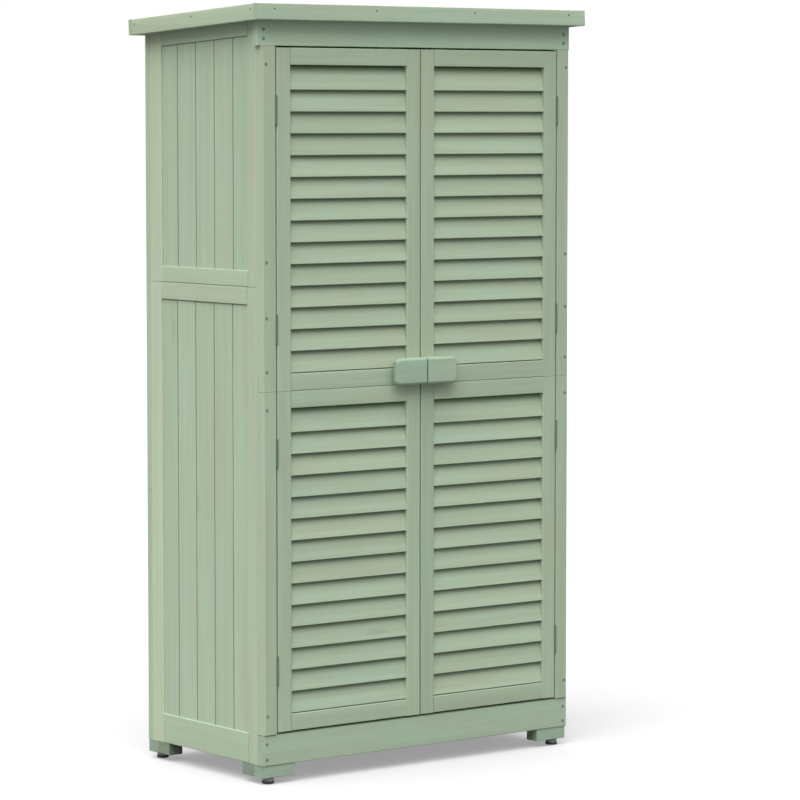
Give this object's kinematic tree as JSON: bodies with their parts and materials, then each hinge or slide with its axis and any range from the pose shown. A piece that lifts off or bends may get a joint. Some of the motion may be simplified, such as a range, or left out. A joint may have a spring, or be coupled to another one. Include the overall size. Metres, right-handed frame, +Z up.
{
  "type": "garden shed",
  "caption": "Tall wooden garden storage cabinet with a pair of louvred doors, boarded sides, slatted shelves inside and a lean-to felt roof, on corner feet.",
  "frame": {"origin": "on the ground, at the middle of the overall box in plan", "axes": "+Z up, +X to the right seen from the front, the doors face -Y"},
  "size_m": [0.8706, 0.4715, 1.5999],
  "materials": {
    "painted_wood": "matt sage-green paint",
    "roof_felt": "mineral-faced felt",
    "hinge_steel": "dulled zinc",
    "zinc_steel": "zinc plated",
    "glide_plastic": "black moulded",
    "catch_plastic": "brown moulded"
  },
  "bodies": {
    "cabinet": {"bottom_rail": "painted_wood", "floor_bearers": "painted_wood", "floor_boards": "painted_wood", "foot_glides": "glide_plastic", "frame_screws": "zinc_steel", "header_rail": "painted_wood", "left_back_foot": "painted_wood", "left_front_foot": "painted_wood", "left_hinge_pins": "hinge_steel", "left_hinge_post_leaves": "hinge_steel", "left_lower_post": "painted_wood", "left_lower_side_boards": "painted_wood", "left_lower_side_frame": "painted_wood", "left_upper_post": "painted_wood", "left_upper_side_boards": "painted_wood", "left_upper_side_frame": "painted_wood", "lower_back_boards": "painted_wood", "lower_back_frame": "painted_wood", "lower_shelf_boards": "painted_wood", "magnet_catches": "catch_plastic", "right_back_foot": "painted_wood", "right_front_foot": "painted_wood", "right_hinge_pins": "hinge_steel", "right_hinge_post_leaves": "hinge_steel", "right_lower_post": "painted_wood", "right_lower_side_boards": "painted_wood", "right_lower_side_frame": "painted_wood", "right_upper_post": "painted_wood", "right_upper_side_boards": "painted_wood", "right_upper_side_frame": "painted_wood", "roof_battens": "painted_wood", "roof_deck_boards": "painted_wood", "roof_felt": "roof_felt", "roof_nails": "zinc_steel", "roof_rim_back": "painted_wood", "roof_rim_front": "painted_wood", "roof_rim_left": "painted_wood", "roof_rim_right": "painted_wood", "shelf_bearers": "painted_wood", "upper_back_boards": "painted_wood", "upper_back_frame": "painted_wood", "upper_shelf_boards": "painted_wood"},
    "left_door": {"left_door_handle": "painted_wood", "left_door_joining_plates": "zinc_steel", "left_door_strike_plate": "zinc_steel", "left_hinge_door_leaves": "hinge_steel", "left_lower_door_frame": "painted_wood", "left_lower_door_slats": "painted_wood", "left_upper_door_frame": "painted_wood", "left_upper_door_slats": "painted_wood"},
    "right_door": {"right_door_handle": "painted_wood", "right_door_joining_plates": "zinc_steel", "right_door_strike_plate": "zinc_steel", "right_hinge_door_leaves": "hinge_steel", "right_lower_door_frame": "painted_wood", "right_lower_door_slats": "painted_wood", "right_upper_door_frame": "painted_wood", "right_upper_door_slats": "painted_wood"}
  },
  "joints": [
    {"name": "left_door_hinge", "type": "hinge", "parent": "cabinet", "child": "left_door", "pos_m": [-0.373, -0.21075, 0.81], "axis": [0, 0, -1], "range_deg": [0, 170]},
    {"name": "right_door_hinge", "type": "hinge", "parent": "cabinet", "child": "right_door", "pos_m": [0.373, -0.21075, 0.81], "axis": [0, 0, 1], "range_deg": [0, 170]}
  ]
}
